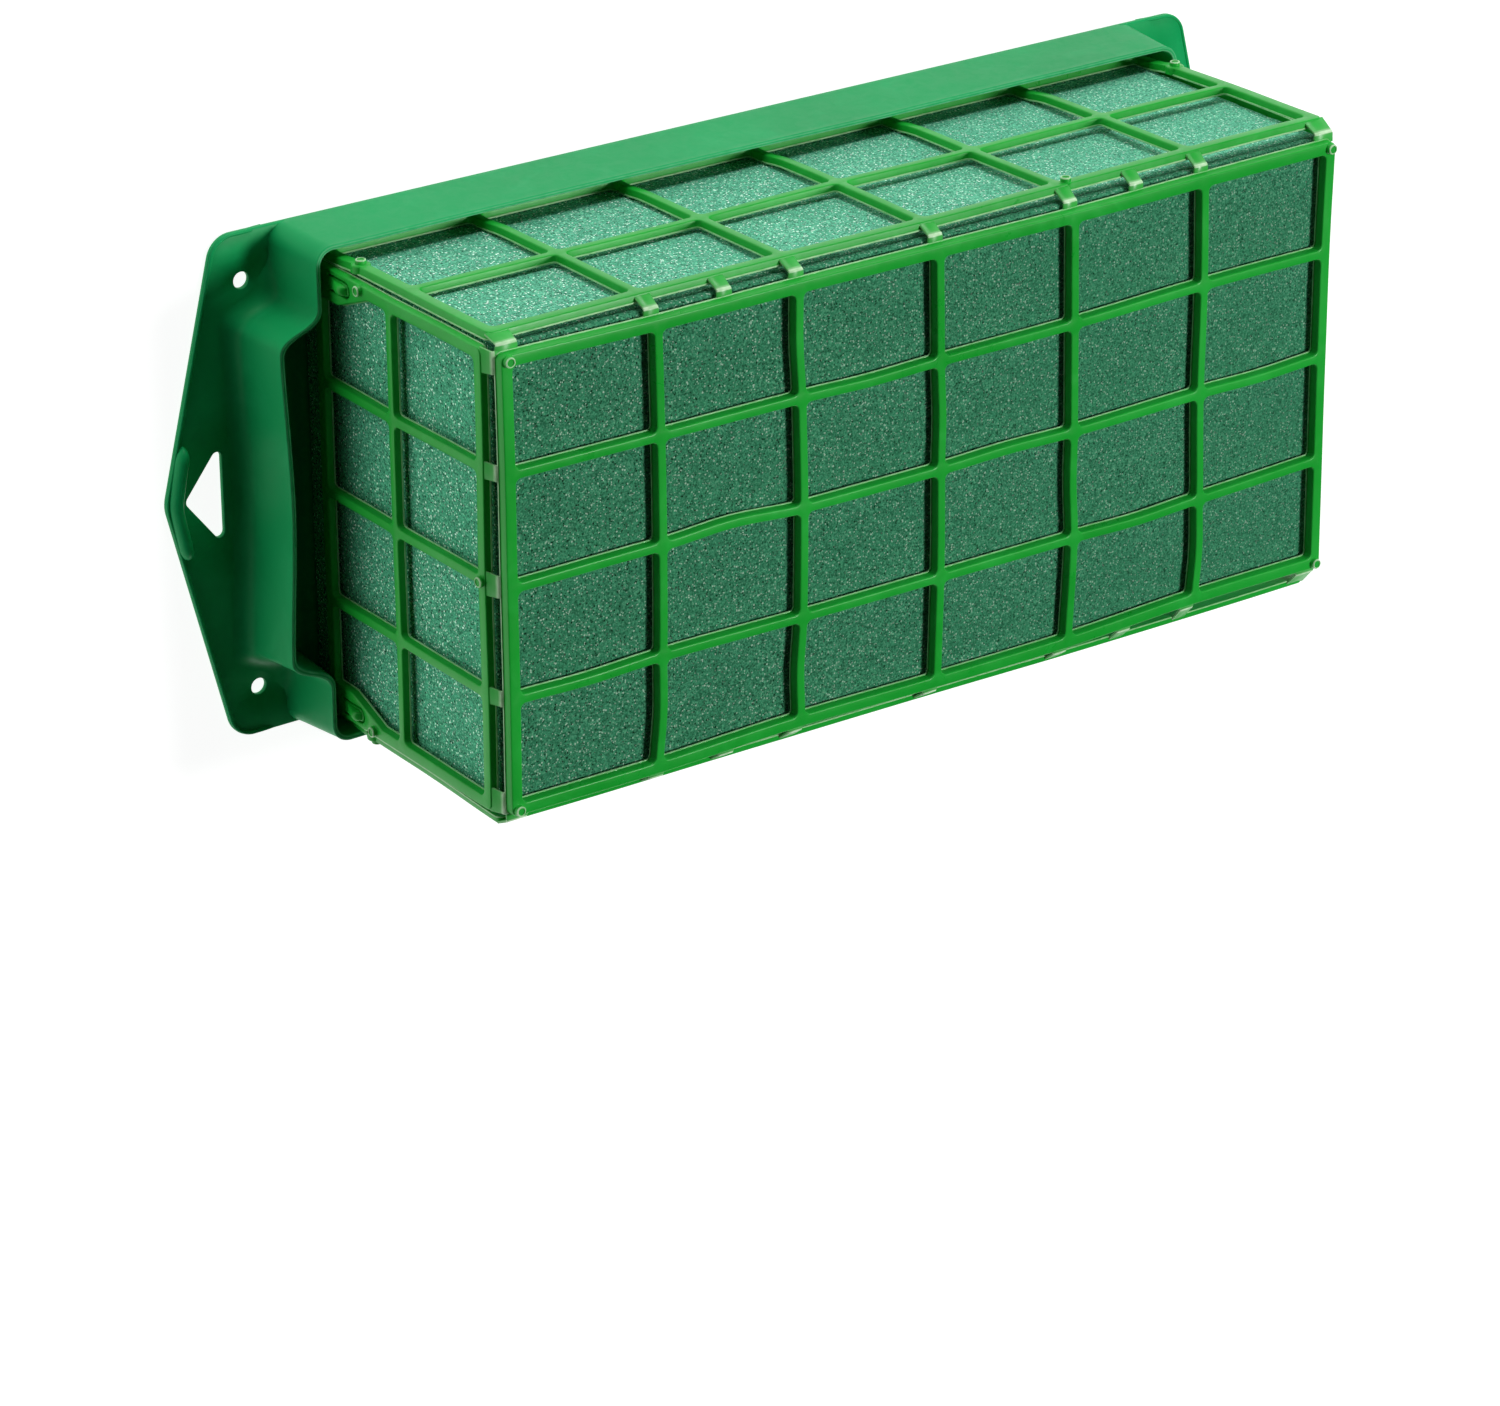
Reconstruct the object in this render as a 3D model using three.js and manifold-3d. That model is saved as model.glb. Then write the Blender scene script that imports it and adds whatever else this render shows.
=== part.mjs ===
// A caged floral foam brick: a shallow tray with a water well and a hanging flange at each end,
// a block of wet foam standing in it, and a folded plastic cage that comes down over the foam.
// Millimetres, +Z up. X runs along the length, and the origin is under the middle of the tray.

import * as THREE from 'three';
import { mergeVertices } from 'three/addons/utils/BufferGeometryUtils.js';
import Module from 'manifold-3d';

const wasm = await Module();
wasm.setup();

// ---- driving dimensions -------------------------------------------------------------------

const BRICK = { x: 236.4, y: 111.4, z: 81 };  // wet foam brick, nominally 230 x 110 x 80
const FLOOR = 1.5;                            // tray floor and flange plate thickness
const GAP = 0.3;                              // gap kept where two pieces meet

const COLUMNS = 6, ROWS = 4;                  // windows along and across the cage
const COL_HALF = 118;                         // middle of the cage's end bars from the centre
const ROW_HALF = 54;                          // middle of the top grid's long bars from the centre
const FRAME_W = 2.8, BAR_W = 2.2, BAR_D = 2.6;
const PANEL_D = 2.0;                          // the folding panels are thinner than the top grid
const WINDOW_R = 1.0;
const TOP_Z = 86.2;                           // upper face of the top grid
const PANEL_LOW = 13.6, PANEL_HIGH = 79.0;    // middles of a panel's bottom and top bars
const SIDE_MIDDLE = 46.8;                     // middle bar of a long panel
const END_MIDDLE = 43.4;                      // middle bar of an end panel
const SIDE_FACE = 58.2;                       // outer face of the long panels
const END_FACE = 121.4;                       // outer face of the end panels

const STUD_R = 1.2, STUD_H = 1.2;
const BOSS_R = 2.3, SIDE_STUD_Z = 27;
const CORNER_STUD_Z = 31;                     // stud at the lower corners of an end panel
const GUSSET = { top: 34.6, inner: 47.6 };
const TONGUE = { low: 20.6, high: 26.6, w: 3.6, proud: 1.5, slot: 0.6 };

const STRAP = { t: 0.6, w: 3.9, wide: 5.4, stand: 0.4, z: 84.5, inset: 0.15, knee: 1.9 };
const EXTRA_STRAP = 1.5;                      // the extra straps stand half-way along a window

const RIM = { x: 125.0, y: 60.9, z: 19.5, r: 4.5 };
const WALL = 1.1;
const FOOT_GROW = { x: 1.6, y: 1.1 };         // the outer wall is wider at its foot than its rim
const FLOOR_SHRINK = { x: 0.8, y: 0.6 };      // and the cavity narrows towards the floor
const WELL = { x: 135.3, bow: 1.6, y0: 47, y1: 37.5, swing: 5.5 };

const FLANGE = { y: 62.0, corner: 141.6, apex: 156.8, bead: 1.0, beadZ: 1.9 };
const SCREW = { x: 134, y: 50.3, r: 2.0 };
const HANG = { base: 141.2, apex: 150.6, half: 13.0 };
const RIB = { x0: 151.2, y0: 14.0, x1: 153.9, w: 3.2, z: 4.3 };

// ---- colours ------------------------------------------------------------------------------

const TRAY_GREEN = { color: 0x1f8f5a, roughness: 0.42, metalness: 0.0 };
const CAGE_GREEN = { color: 0x1f9a35, roughness: 0.33, metalness: 0.0 };
const FOAM_GREEN = { color: 0x3b8f6c, roughness: 0.95, metalness: 0.0 };

const root = new THREE.Group();

// ---- solids ---------------------------------------------------------------------------------

function solid(geometry) {
  const g = geometry.clone();
  g.deleteAttribute('normal');
  g.deleteAttribute('uv');
  const m = mergeVertices(g, 1e-4);
  const index = m.index.array;
  return new wasm.Manifold(new wasm.Mesh({
    numProp: 3,
    vertProperties: new Float32Array(m.attributes.position.array),
    triVerts: new Uint32Array(index),
  }));
}

function geometryOf(body) {
  const mesh = body.getMesh();
  const g = new THREE.BufferGeometry();
  const p = new Float32Array(mesh.numVert * 3);
  for (let i = 0; i < mesh.numVert; i++) {
    for (let k = 0; k < 3; k++) p[3 * i + k] = mesh.vertProperties[mesh.numProp * i + k];
  }
  g.setAttribute('position', new THREE.BufferAttribute(p, 3));
  g.setIndex(new THREE.BufferAttribute(new Uint32Array(mesh.triVerts), 1));
  return g;
}

function add(name, geometry, look, place = {}) {
  const g = geometry.clone();
  if (!g.attributes.normal) g.computeVertexNormals();
  const mesh = new THREE.Mesh(g, new THREE.MeshStandardMaterial(look));
  mesh.name = name;
  if (place.position) mesh.position.set(...place.position);
  if (place.rotation) mesh.rotation.set(...place.rotation);
  (place.parent ?? root).add(mesh);
  return mesh;
}

function turned(parentTurn) {
  const g = new THREE.Group();
  g.rotation.z = parentTurn;
  root.add(g);
  return g;
}

function extrude(shape, depth, segments = 4, steps = 1) {
  return new THREE.ExtrudeGeometry(shape, { depth, steps, bevelEnabled: false, curveSegments: segments });
}

// Lines of a grid from -half to +half, evenly spaced.
function lines(half, cells) {
  return Array.from({ length: cells + 1 }, (_, i) => -half + (2 * half * i) / cells);
}

// A flat grid of windows with small rounded corners, in the XY plane.
function gridShape(us, vs) {
  const o = FRAME_W / 2;
  const u0 = us[0] - o, u1 = us.at(-1) + o, v0 = vs[0] - o, v1 = vs.at(-1) + o;
  const shape = new THREE.Shape([[u0, v0], [u1, v0], [u1, v1], [u0, v1]].map(([x, y]) => new THREE.Vector2(x, y)));
  const half = (list, i) => (i === 0 || i === list.length - 1 ? FRAME_W : BAR_W) / 2;
  for (let i = 0; i + 1 < us.length; i++) {
    for (let j = 0; j + 1 < vs.length; j++) {
      const a = us[i] + half(us, i), b = us[i + 1] - half(us, i + 1);
      const c = vs[j] + half(vs, j), d = vs[j + 1] - half(vs, j + 1);
      const r = WINDOW_R, pts = [];
      for (const [cx, cy, from] of [[b - r, c + r, -90], [b - r, d - r, 0], [a + r, d - r, 90], [a + r, c + r, 180]]) {
        for (const turn of [0, 45, 90]) {
          const t = THREE.MathUtils.degToRad(from + turn);
          pts.push(new THREE.Vector2(cx + r * Math.cos(t), cy + r * Math.sin(t)));
        }
      }
      shape.holes.push(new THREE.Path(pts.reverse()));
    }
  }
  return shape;
}

// A short round stud or boss standing along +Z from z0.
function round(x, y, r, z0, h, sides = 12) {
  const g = new THREE.CylinderGeometry(r, r, h, sides);
  g.rotateX(Math.PI / 2);
  g.translate(x, y, z0 + h / 2);
  return g;
}

// ---- cage: top grid -------------------------------------------------------------------------

const cols = lines(COL_HALF, COLUMNS);
const rows = lines(ROW_HALF, ROWS);

{
  let g = solid(extrude(gridShape(cols, rows), BAR_D));
  for (const x of [-COL_HALF, COL_HALF]) {
    for (const y of [-ROW_HALF, ROW_HALF]) g = g.add(solid(round(x, y, STUD_R, BAR_D - 0.5, STUD_H + 0.5)));
  }
  add('cage_top_grid', geometryOf(g), CAGE_GREEN, { position: [0, 0, TOP_Z - BAR_D] });
}

// ---- cage: panels ---------------------------------------------------------------------------
// A panel is drawn flat, u along its width and v up, with its outer face at +Z of its own frame.
// It is then stood up so that v is up and the outer face looks away from the foam.

function sidePanel(studs) {
  let g = solid(extrude(gridShape(cols, [PANEL_LOW, SIDE_MIDDLE, PANEL_HIGH]), PANEL_D));
  for (const u of [-COL_HALF, COL_HALF]) {
    g = g.add(solid(round(u, SIDE_STUD_Z, BOSS_R, 0, PANEL_D, 16)));
    g = g.add(solid(round(u, SIDE_STUD_Z, STUD_R, PANEL_D - 0.5, STUD_H + 0.5)));
  }
  for (const [u, v] of studs) g = g.add(solid(round(u, v, STUD_R, PANEL_D - 0.5, STUD_H + 0.5)));
  return geometryOf(g);
}

function endPanel() {
  let g = solid(extrude(gridShape(rows, [PANEL_LOW, END_MIDDLE, PANEL_HIGH]), PANEL_D));
  for (const s of [-1, 1]) {
    // corner gusset
    const inner = ROW_HALF - FRAME_W / 2;
    const gusset = new THREE.Shape([
      [s * (inner + 0.5), PANEL_LOW], [s * (inner + 0.5), GUSSET.top + 1], [s * inner, GUSSET.top],
      [s * GUSSET.inner, GUSSET.top - 10], [s * GUSSET.inner, PANEL_LOW],
    ].map(([x, y]) => new THREE.Vector2(x, y)));
    g = g.add(solid(extrude(gusset, PANEL_D)));
    // slot round the spring tongue
    const w = TONGUE.w / 2, m = s * (ROW_HALF - 2.0), k = TONGUE.slot;
    const slot = new THREE.Shape();
    slot.moveTo(m - w - k, 18);
    slot.lineTo(m - w, 18);
    slot.lineTo(m - w, TONGUE.high - w);
    slot.absarc(m, TONGUE.high - w, w, Math.PI, 0, true);
    slot.lineTo(m + w, 18);
    slot.lineTo(m + w + k, 18);
    slot.lineTo(m + w + k, TONGUE.high - w);
    slot.absarc(m, TONGUE.high - w, w + k, 0, Math.PI, false);
    const cut = extrude(slot, PANEL_D + 2, 6);
    cut.translate(0, 0, -1);
    g = g.subtract(solid(cut));
    // the tongue's raised catch
    const bump = new THREE.Shape([[0, 0], [TONGUE.proud, 2.2], [TONGUE.proud, 4.6], [0, 5.8]].map(([x, y]) => new THREE.Vector2(x, y)));
    const b = extrude(bump, TONGUE.w - 0.8);
    b.rotateY(-Math.PI / 2);
    b.translate(m + (TONGUE.w - 0.8) / 2, TONGUE.low, PANEL_D - 0.02);
    g = g.add(solid(b));
    g = g.add(solid(round(s * ROW_HALF, CORNER_STUD_Z, STUD_R, PANEL_D - 0.5, STUD_H + 0.5)));
  }
  g = g.add(solid(round(0, PANEL_HIGH, STUD_R, PANEL_D - 0.5, STUD_H + 0.5)));
  return geometryOf(g);
}

const STAND = [Math.PI / 2, 0, 0];
const front = turned(0), back = turned(Math.PI), right = turned(Math.PI / 2), left = turned(-Math.PI / 2);
const stood = (parent, face) => ({ position: [0, -(face - PANEL_D), 0], rotation: STAND, parent });

add('cage_front_panel', sidePanel([[-41.5, PANEL_HIGH]]), CAGE_GREEN, stood(front, SIDE_FACE));
add('cage_back_panel', sidePanel([]), CAGE_GREEN, stood(back, SIDE_FACE));
add('cage_right_panel', endPanel(), CAGE_GREEN, stood(right, END_FACE));
add('cage_left_panel', endPanel(), CAGE_GREEN, stood(left, END_FACE));

// ---- cage: living-hinge straps ----------------------------------------------------------------
// Each strap is a bent strip: a short level part from the rear of the grid's edge, and a leg that
// slopes down to the panel's top edge.

function strap(width, edge, face) {
  const u0 = edge + STRAP.stand, u1 = face - STRAP.inset, t = STRAP.t, r = 0.8;
  const z1 = STRAP.z, z0 = PANEL_HIGH + FRAME_W / 2 + GAP, k = Math.min(edge + STRAP.knee, u1);
  const s = new THREE.Shape();
  s.moveTo(u0, z1 - t);
  s.lineTo(k - r, z1 - t);
  s.quadraticCurveTo(k - t, z1 - t, k - t, z1 - r);
  s.lineTo(u1 - t, z0);
  s.lineTo(u1, z0);
  s.lineTo(k, z1 - r);
  s.quadraticCurveTo(k, z1, k - r, z1);
  s.lineTo(u0, z1);
  s.closePath();
  const g = extrude(s, width, 3);
  g.translate(0, 0, -width / 2);
  return g;
}

// The profile's u axis points away from the foam, and its own y is up.
function addStraps(label, parent, places, edge, face) {
  places.forEach(([at, width], i) => {
    const g = strap(width, edge, face);
    // (u, v, w) -> (w, -u, v): w runs along the edge
    g.rotateX(Math.PI / 2);
    g.rotateZ(-Math.PI / 2);
    add(`${label}_strap_${i + 1}`, g, CAGE_GREEN, { position: [at, 0, 0], parent });
  });
}

const pitch = (2 * COL_HALF) / COLUMNS;
const longPlaces = [
  [-COL_HALF + 1.3, STRAP.wide], [-2 * pitch, STRAP.w], [-EXTRA_STRAP * pitch, STRAP.w], [-pitch, STRAP.w], [0, STRAP.w],
  [pitch, STRAP.w], [EXTRA_STRAP * pitch, STRAP.w], [2 * pitch, STRAP.w], [COL_HALF - 1.3, STRAP.wide],
];
const shortPlaces = [
  [-ROW_HALF + 1.3, STRAP.wide], [-ROW_HALF / 2, STRAP.w], [0, STRAP.wide], [ROW_HALF / 2, STRAP.w], [ROW_HALF - 1.3, STRAP.wide],
];
const EDGE_Y = ROW_HALF + FRAME_W / 2, EDGE_X = COL_HALF + FRAME_W / 2;
addStraps('front', front, longPlaces, EDGE_Y, SIDE_FACE);
addStraps('back', back, longPlaces, EDGE_Y, SIDE_FACE);
addStraps('right', right, shortPlaces, EDGE_X, END_FACE);
addStraps('left', left, shortPlaces, EDGE_X, END_FACE);

// ---- foam brick -------------------------------------------------------------------------------

{
  const c = 0.8, x = BRICK.x / 2, y = BRICK.y / 2;
  const s = new THREE.Shape([[x - c, -y], [x, -y + c], [x, y - c], [x - c, y], [-x + c, y], [-x, y - c], [-x, -y + c], [-x + c, -y]]
    .map(([a, b]) => new THREE.Vector2(a, b)));
  add('foam_brick', extrude(s, BRICK.z), FOAM_GREEN, { position: [0, 0, FLOOR + GAP] });
}

// ---- tray ---------------------------------------------------------------------------------------
// The wall's line at the rim, moved inwards by an inset. The wells swell out of the end walls.

function wallShape(inset) {
  const x = RIM.x - inset, y = RIM.y - inset, r = Math.max(RIM.r - inset, 1), w = WELL.x - inset;
  const y0 = WELL.y0 - 0.7 * inset, y1 = WELL.y1 - 0.7 * inset, k = WELL.swing, m = w - WELL.bow;
  const s = new THREE.Shape();
  s.moveTo(-x + r, -y);
  s.lineTo(x - r, -y);
  s.absarc(x - r, -y + r, r, -Math.PI / 2, 0, false);
  s.lineTo(x, -y0);
  s.bezierCurveTo(x, -y0 + k, w, -y1 - k, w, -y1);
  s.bezierCurveTo(w, -y1 + 8, m, -12, m, 0);
  s.bezierCurveTo(m, 12, w, y1 - 8, w, y1);
  s.bezierCurveTo(w, y1 + k, x, y0 - k, x, y0);
  s.lineTo(x, y - r);
  s.absarc(x - r, y - r, r, 0, Math.PI / 2, false);
  s.lineTo(-x + r, y);
  s.absarc(-x + r, y - r, r, Math.PI / 2, Math.PI, false);
  s.lineTo(-x, y0);
  s.bezierCurveTo(-x, y0 - k, -w, y1 + k, -w, y1);
  s.bezierCurveTo(-w, y1 - 8, -m, 12, -m, 0);
  s.bezierCurveTo(-m, -12, -w, -y1 + 8, -w, -y1);
  s.bezierCurveTo(-w, -y1 - k, -x, -y0 + k, -x, -y0);
  s.lineTo(-x, -y + r);
  s.absarc(-x + r, -y + r, r, Math.PI, 1.5 * Math.PI, false);
  return s;
}

// Moves a wall in or out with height: dx, dy are how much further out it stands at the bottom.
function draft(geometry, z0, z1, dx, dy) {
  const p = geometry.attributes.position;
  for (let i = 0; i < p.count; i++) {
    const t = THREE.MathUtils.clamp((z1 - p.getZ(i)) / (z1 - z0), 0, 1);
    p.setX(i, p.getX(i) * (1 + (t * dx) / RIM.x));
    p.setY(i, p.getY(i) * (1 + (t * dy) / RIM.y));
  }
  return geometry;
}

{
  const outer = draft(extrude(wallShape(0), RIM.z, 6), 0, RIM.z, FOOT_GROW.x, FOOT_GROW.y);
  const hollow = extrude(wallShape(WALL), RIM.z - FLOOR, 6);
  hollow.translate(0, 0, FLOOR);
  draft(hollow, FLOOR, RIM.z, -FLOOR_SHRINK.x, -FLOOR_SHRINK.y);
  const over = extrude(wallShape(WALL), 2, 6);
  over.translate(0, 0, RIM.z - 0.0);
  const pan = solid(outer).subtract(solid(hollow).add(solid(over)));
  add('tray_pan', geometryOf(pan), TRAY_GREEN);
}

function flangeShape(inset) {
  const y = FLANGE.y - inset, c = FLANGE.corner - inset, a = FLANGE.apex - inset;
  const s = new THREE.Shape();
  s.moveTo(118, -y);
  s.lineTo(c - 4.8, -y);
  s.quadraticCurveTo(c - 0.4, -y, c + 0.5, -y + 4.4);
  s.lineTo(a - 2.0, -8);
  s.quadraticCurveTo(a, 0, a - 2.0, 8);
  s.lineTo(c + 0.5, y - 4.4);
  s.quadraticCurveTo(c - 0.4, y, c - 4.8, y);
  s.lineTo(118, y);
  s.closePath();
  return s;
}

function flange() {
  let g = solid(extrude(flangeShape(0), FLANGE.beadZ, 6));
  const dish = extrude(flangeShape(FLANGE.bead), 3, 6);
  dish.translate(0, 0, FLOOR);
  g = g.subtract(solid(dish));
  // the dish stops at the bead, so its open end at the pan is cleared too
  const clear = new THREE.BoxGeometry(12, 2 * (FLANGE.y - FLANGE.bead), 3);
  clear.translate(117, 0, FLOOR + 1.5);
  g = g.subtract(solid(clear));
  // rib beyond the hanging hole
  const rib = new THREE.Shape();
  const h = RIB.w / 2;
  rib.moveTo(RIB.x0 - h, -RIB.y0);
  rib.absarc(RIB.x0, -RIB.y0, h, Math.PI, 2 * Math.PI, false);
  rib.lineTo(RIB.x1 + h, 0);
  rib.lineTo(RIB.x0 + h, RIB.y0);
  rib.absarc(RIB.x0, RIB.y0, h, 0, Math.PI, false);
  rib.lineTo(RIB.x1 - h - 0.4, 0);
  rib.closePath();
  const ribSolid = extrude(rib, RIB.z - 0.5, 4);
  ribSolid.translate(0, 0, 0.5);
  g = g.add(solid(ribSolid));
  // hanging hole: a triangle with its point outwards
  const tri = new THREE.Shape();
  tri.moveTo(HANG.base, -HANG.half + 1);
  tri.quadraticCurveTo(HANG.base, -HANG.half, HANG.base + 0.9, -HANG.half + 0.8);
  tri.lineTo(HANG.apex - 0.7, -1.2);
  tri.quadraticCurveTo(HANG.apex + 0.3, 0, HANG.apex - 0.7, 1.2);
  tri.lineTo(HANG.base + 0.9, HANG.half - 0.8);
  tri.quadraticCurveTo(HANG.base, HANG.half, HANG.base, HANG.half - 1);
  tri.closePath();
  const triCut = extrude(tri, 8, 3);
  triCut.translate(0, 0, -2);
  g = g.subtract(solid(triCut));
  for (const s of [-1, 1]) g = g.subtract(solid(round(SCREW.x, s * SCREW.y, SCREW.r, -1, 6, 20)));
  // the pan's own foot, with the gap that two pieces keep
  const foot = draft(extrude(wallShape(-GAP), 12, 6), -1, 0, FOOT_GROW.x, FOOT_GROW.y);
  const p = foot.attributes.position;
  for (let i = 0; i < p.count; i++) {
    p.setX(i, p.getX(i) * (1 + FOOT_GROW.x / RIM.x));
    p.setY(i, p.getY(i) * (1 + FOOT_GROW.y / RIM.y));
    p.setZ(i, p.getZ(i) - 1);
  }
  g = g.subtract(solid(foot));
  return geometryOf(g);
}

add('hanging_flange_right', flange(), TRAY_GREEN);
add('hanging_flange_left', flange(), TRAY_GREEN, { rotation: [0, 0, Math.PI] });

export default root;
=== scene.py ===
# The looks of a caged floral foam brick: a moulded tray with a well and a hanging flange at each
# end, a block of wet foam, and a moulded window cage that folds on small straps.
# Sizes below are in millimetres and are turned into metres where a mesh is made.
import math
import bpy
import bmesh
from mathutils import Matrix, Vector, noise
from mathutils.geometry import delaunay_2d_cdt


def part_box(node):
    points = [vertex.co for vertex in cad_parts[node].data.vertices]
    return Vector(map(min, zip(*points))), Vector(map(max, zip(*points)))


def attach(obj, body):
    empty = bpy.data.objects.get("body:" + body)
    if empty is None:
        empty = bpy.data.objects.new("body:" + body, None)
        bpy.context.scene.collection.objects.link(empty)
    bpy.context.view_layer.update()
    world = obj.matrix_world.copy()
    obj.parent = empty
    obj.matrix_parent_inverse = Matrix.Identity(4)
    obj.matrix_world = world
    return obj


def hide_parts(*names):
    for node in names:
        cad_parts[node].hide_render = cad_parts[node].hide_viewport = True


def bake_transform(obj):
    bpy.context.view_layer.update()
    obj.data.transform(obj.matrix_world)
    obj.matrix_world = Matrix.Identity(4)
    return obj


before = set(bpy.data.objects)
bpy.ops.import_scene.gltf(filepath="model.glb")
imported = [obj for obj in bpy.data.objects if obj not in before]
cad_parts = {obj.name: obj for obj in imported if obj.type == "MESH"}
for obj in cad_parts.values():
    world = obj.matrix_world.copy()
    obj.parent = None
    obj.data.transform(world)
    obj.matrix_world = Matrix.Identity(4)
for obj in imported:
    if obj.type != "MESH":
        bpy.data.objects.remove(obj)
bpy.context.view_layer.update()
MM = 0.001

# ---- sizes ------------------------------------------------------------------------------------
COL_HALF, ROW_HALF = 118.0, 54.0
FRAME_W, BAR_W, BAR_D, PANEL_D = 2.8, 2.2, 2.6, 2.0
WINDOW_R = 1.4
STRAP_T, STRAP_W, STRAP_WIDE, STRAP_DROP = 0.6, 3.9, 5.4, 2.25
STUD_R, STUD_H = 1.25, 1.15
PANEL_LOW, SIDE_LOW, PANEL_MID, END_MID, PANEL_HIGH = 13.6, 11.8, 46.8, 43.4, 79.0
GUSSET_TOP, GUSSET_IN = 34.6, 47.6
RIM_X, RIM_Y, RIM_Z, RIM_R = 125.0, 60.9, 19.5, 4.5
FOOT_X, FOOT_Y = 1.6, 1.1
WALL, FLOOR = 1.1, 1.5
WELL_X, WELL_BOW, WELL_Y0, WELL_Y1, WELL_SWING = 135.3, 1.6, 47.0, 37.5, 5.5
FLANGE_Y, CORNER_X, APEX_X = 62.0, 141.0, 156.4
SCREW_X, SCREW_Y, SCREW_R = 134.0, 50.3, 2.0
HANG_BASE, HANG_APEX, HANG_HALF = 141.2, 150.6, 13.0
EDGE_R = [0.3, 6.4, 9.0, 6.4, 0.3]


def on_cad(node, axis, side):
    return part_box(node)[side][axis] / MM


TOP_Z = on_cad("cage_top_grid", 2, 1) - 1.2           # the studs stand 1.2 mm over the grid
SIDE_FACE = -on_cad("cage_front_panel", 1, 0) - 1.2
END_FACE = on_cad("cage_right_panel", 0, 1) - 1.5
FOAM_LOW, FOAM_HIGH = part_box("foam_brick")
FOAM_LOW = [c / MM for c in FOAM_LOW]
FOAM_HIGH = [c / MM for c in FOAM_HIGH]


# ---- small helpers ------------------------------------------------------------------------------
def srgb(r, g, b):
    def one(c):
        c /= 255.0
        return c / 12.92 if c <= 0.04045 else ((c + 0.055) / 1.055) ** 2.4
    return (one(r), one(g), one(b), 1.0)


def within(loop, x, y):
    """Whether a point is inside a closed flat outline."""
    inside = False
    x1, y1 = loop[-1]
    for x2, y2 in loop:
        if (y1 > y) != (y2 > y) and x < (x2 - x1) * (y - y1) / (y2 - y1) + x1:
            inside = not inside
        x1, y1 = x2, y2
    return inside


def smooth(t):
    t = min(max(t, 0.0), 1.0)
    return t * t * (3 - 2 * t)


def catmull(values, t):
    """A smooth curve through evenly spaced values, t from 0 to len - 1."""
    n = len(values)
    t = min(max(t, 0.0), n - 1.0)
    i = min(int(t), n - 2)
    f = t - i
    p1, p2 = values[i], values[i + 1]
    p0 = values[i - 1] if i > 0 else 2 * p1 - p2
    p3 = values[i + 2] if i + 2 < n else 2 * p2 - p1
    return 0.5 * (2 * p1 + (p2 - p0) * f + (2 * p0 - 5 * p1 + 4 * p2 - p3) * f * f
                  + (3 * p1 - p0 - 3 * p2 + p3) * f ** 3)


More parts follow.
